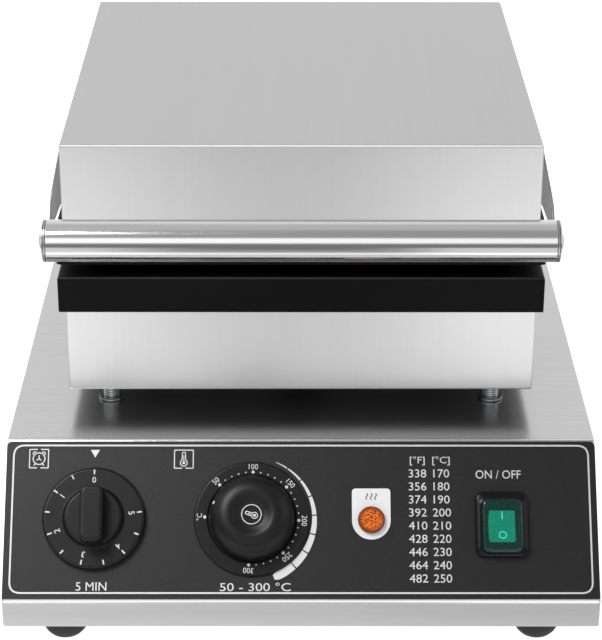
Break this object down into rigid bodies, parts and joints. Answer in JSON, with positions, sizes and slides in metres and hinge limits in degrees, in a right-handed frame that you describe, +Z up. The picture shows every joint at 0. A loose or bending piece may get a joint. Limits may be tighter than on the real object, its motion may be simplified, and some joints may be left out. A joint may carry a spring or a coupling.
{
  "type": "countertop waffle iron",
  "caption": "Square countertop waffle iron: hinged lid with tube handle over deep-pocket moulds, on a folded steel base with sloping control panel.",
  "frame": {"origin": "on the floor plane, under the middle of the whole part", "axes": "+Z up, +Y to the hinge side (back), +X to the right as the user faces the control panel"},
  "size_m": [0.32, 0.416, 0.2555],
  "materials": {
    "brushed_steel": "fine brushed sheet",
    "polished_steel": "bright polished sheet",
    "zinc_plate": "bright zinc plate",
    "coated_mould": "black non-stick coat, satin",
    "heater_sheath": "dark oxidised sheath",
    "black_plastic": "satin moulded",
    "panel_print": "fine speckled film",
    "black_rubber": "matt",
    "white_label": "smooth film",
    "white_ceramic": "glazed",
    "white_fibre": "soft fibre board",
    "amber_lens": "clear amber, faceted",
    "green_cover": "tinted, see-through",
    "green_rocker": "lit green",
    "brass_bell": "polished"
  },
  "bodies": {
    "base": {"base_floor": "zinc_plate", "base_shell": "brushed_steel", "cable_gland": "black_plastic", "capillary_tube": "zinc_plate", "foot_front_left": "black_rubber", "foot_front_right": "black_rubber", "foot_rear_left": "black_rubber", "foot_rear_right": "black_rubber", "hinge_bracket_left": "zinc_plate", "hinge_bracket_right": "zinc_plate", "hinge_nut_left": "zinc_plate", "hinge_nut_right": "zinc_plate", "hinge_rod": "zinc_plate", "lamp_body": "black_plastic", "lamp_label": "white_label", "lamp_lens": "amber_lens", "lamp_nut": "black_plastic", "lower_cover": "polished_steel", "lower_heater": "heater_sheath", "lower_heater_clamp": "zinc_plate", "lower_insulation": "white_fibre", "lower_mould": "coated_mould", "panel_overlay": "panel_print", "post_front_left": "zinc_plate", "post_front_right": "zinc_plate", "post_nut_front_left": "zinc_plate", "post_nut_front_right": "zinc_plate", "post_nut_rear_left": "zinc_plate", "post_nut_rear_right": "zinc_plate", "post_rear_left": "zinc_plate", "post_rear_right": "zinc_plate", "sensing_bulb": "zinc_plate", "switch_body": "black_plastic", "switch_boot": "green_cover", "terminal_block": "white_ceramic", "thermal_cutout": "zinc_plate", "thermostat_bezel": "black_plastic", "thermostat_body": "zinc_plate", "timer_bell": "brass_bell", "timer_body": "zinc_plate", "wire_duct": "zinc_plate"},
    "lid": {"upper_cover": "polished_steel", "upper_mould": "coated_mould", "upper_heater": "heater_sheath", "upper_heater_clamp": "zinc_plate", "upper_insulation": "white_fibre", "handle_tube": "polished_steel", "handle_arm_left": "polished_steel", "handle_arm_right": "polished_steel", "handle_cap_left": "polished_steel", "handle_cap_right": "polished_steel", "handle_screw_left": "polished_steel", "handle_screw_right": "polished_steel", "lid_ear_left": "zinc_plate", "lid_ear_right": "zinc_plate"},
    "timer_dial": {"timer_knob": "black_plastic", "timer_shaft": "zinc_plate"},
    "thermostat_dial": {"thermostat_knob": "black_plastic", "thermostat_shaft": "zinc_plate"},
    "power_rocker": {"switch_rocker": "green_rocker"}
  },
  "joints": [
    {"name": "lid_hinge", "type": "hinge", "parent": "base", "child": "lid", "pos_m": [0, 0.1684, 0.18435], "axis": [-1, 0, 0], "range_deg": [0, 98]},
    {"name": "timer_turn", "type": "hinge", "parent": "base", "child": "timer_dial", "pos_m": [-0.1115, -0.17914, 0.06457], "axis": [0, 0.7612, -0.6485], "range_deg": [0, 277]},
    {"name": "thermostat_turn", "type": "hinge", "parent": "base", "child": "thermostat_dial", "pos_m": [-0.0265, -0.17914, 0.06457], "axis": [0, 0.7612, -0.6485], "range_deg": [-15, 256]},
    {"name": "power_switch", "type": "hinge", "parent": "base", "child": "power_rocker", "pos_m": [0.108, -0.18303, 0.06171], "axis": [1, 0, 0], "range_deg": [0, 16]}
  ]
}
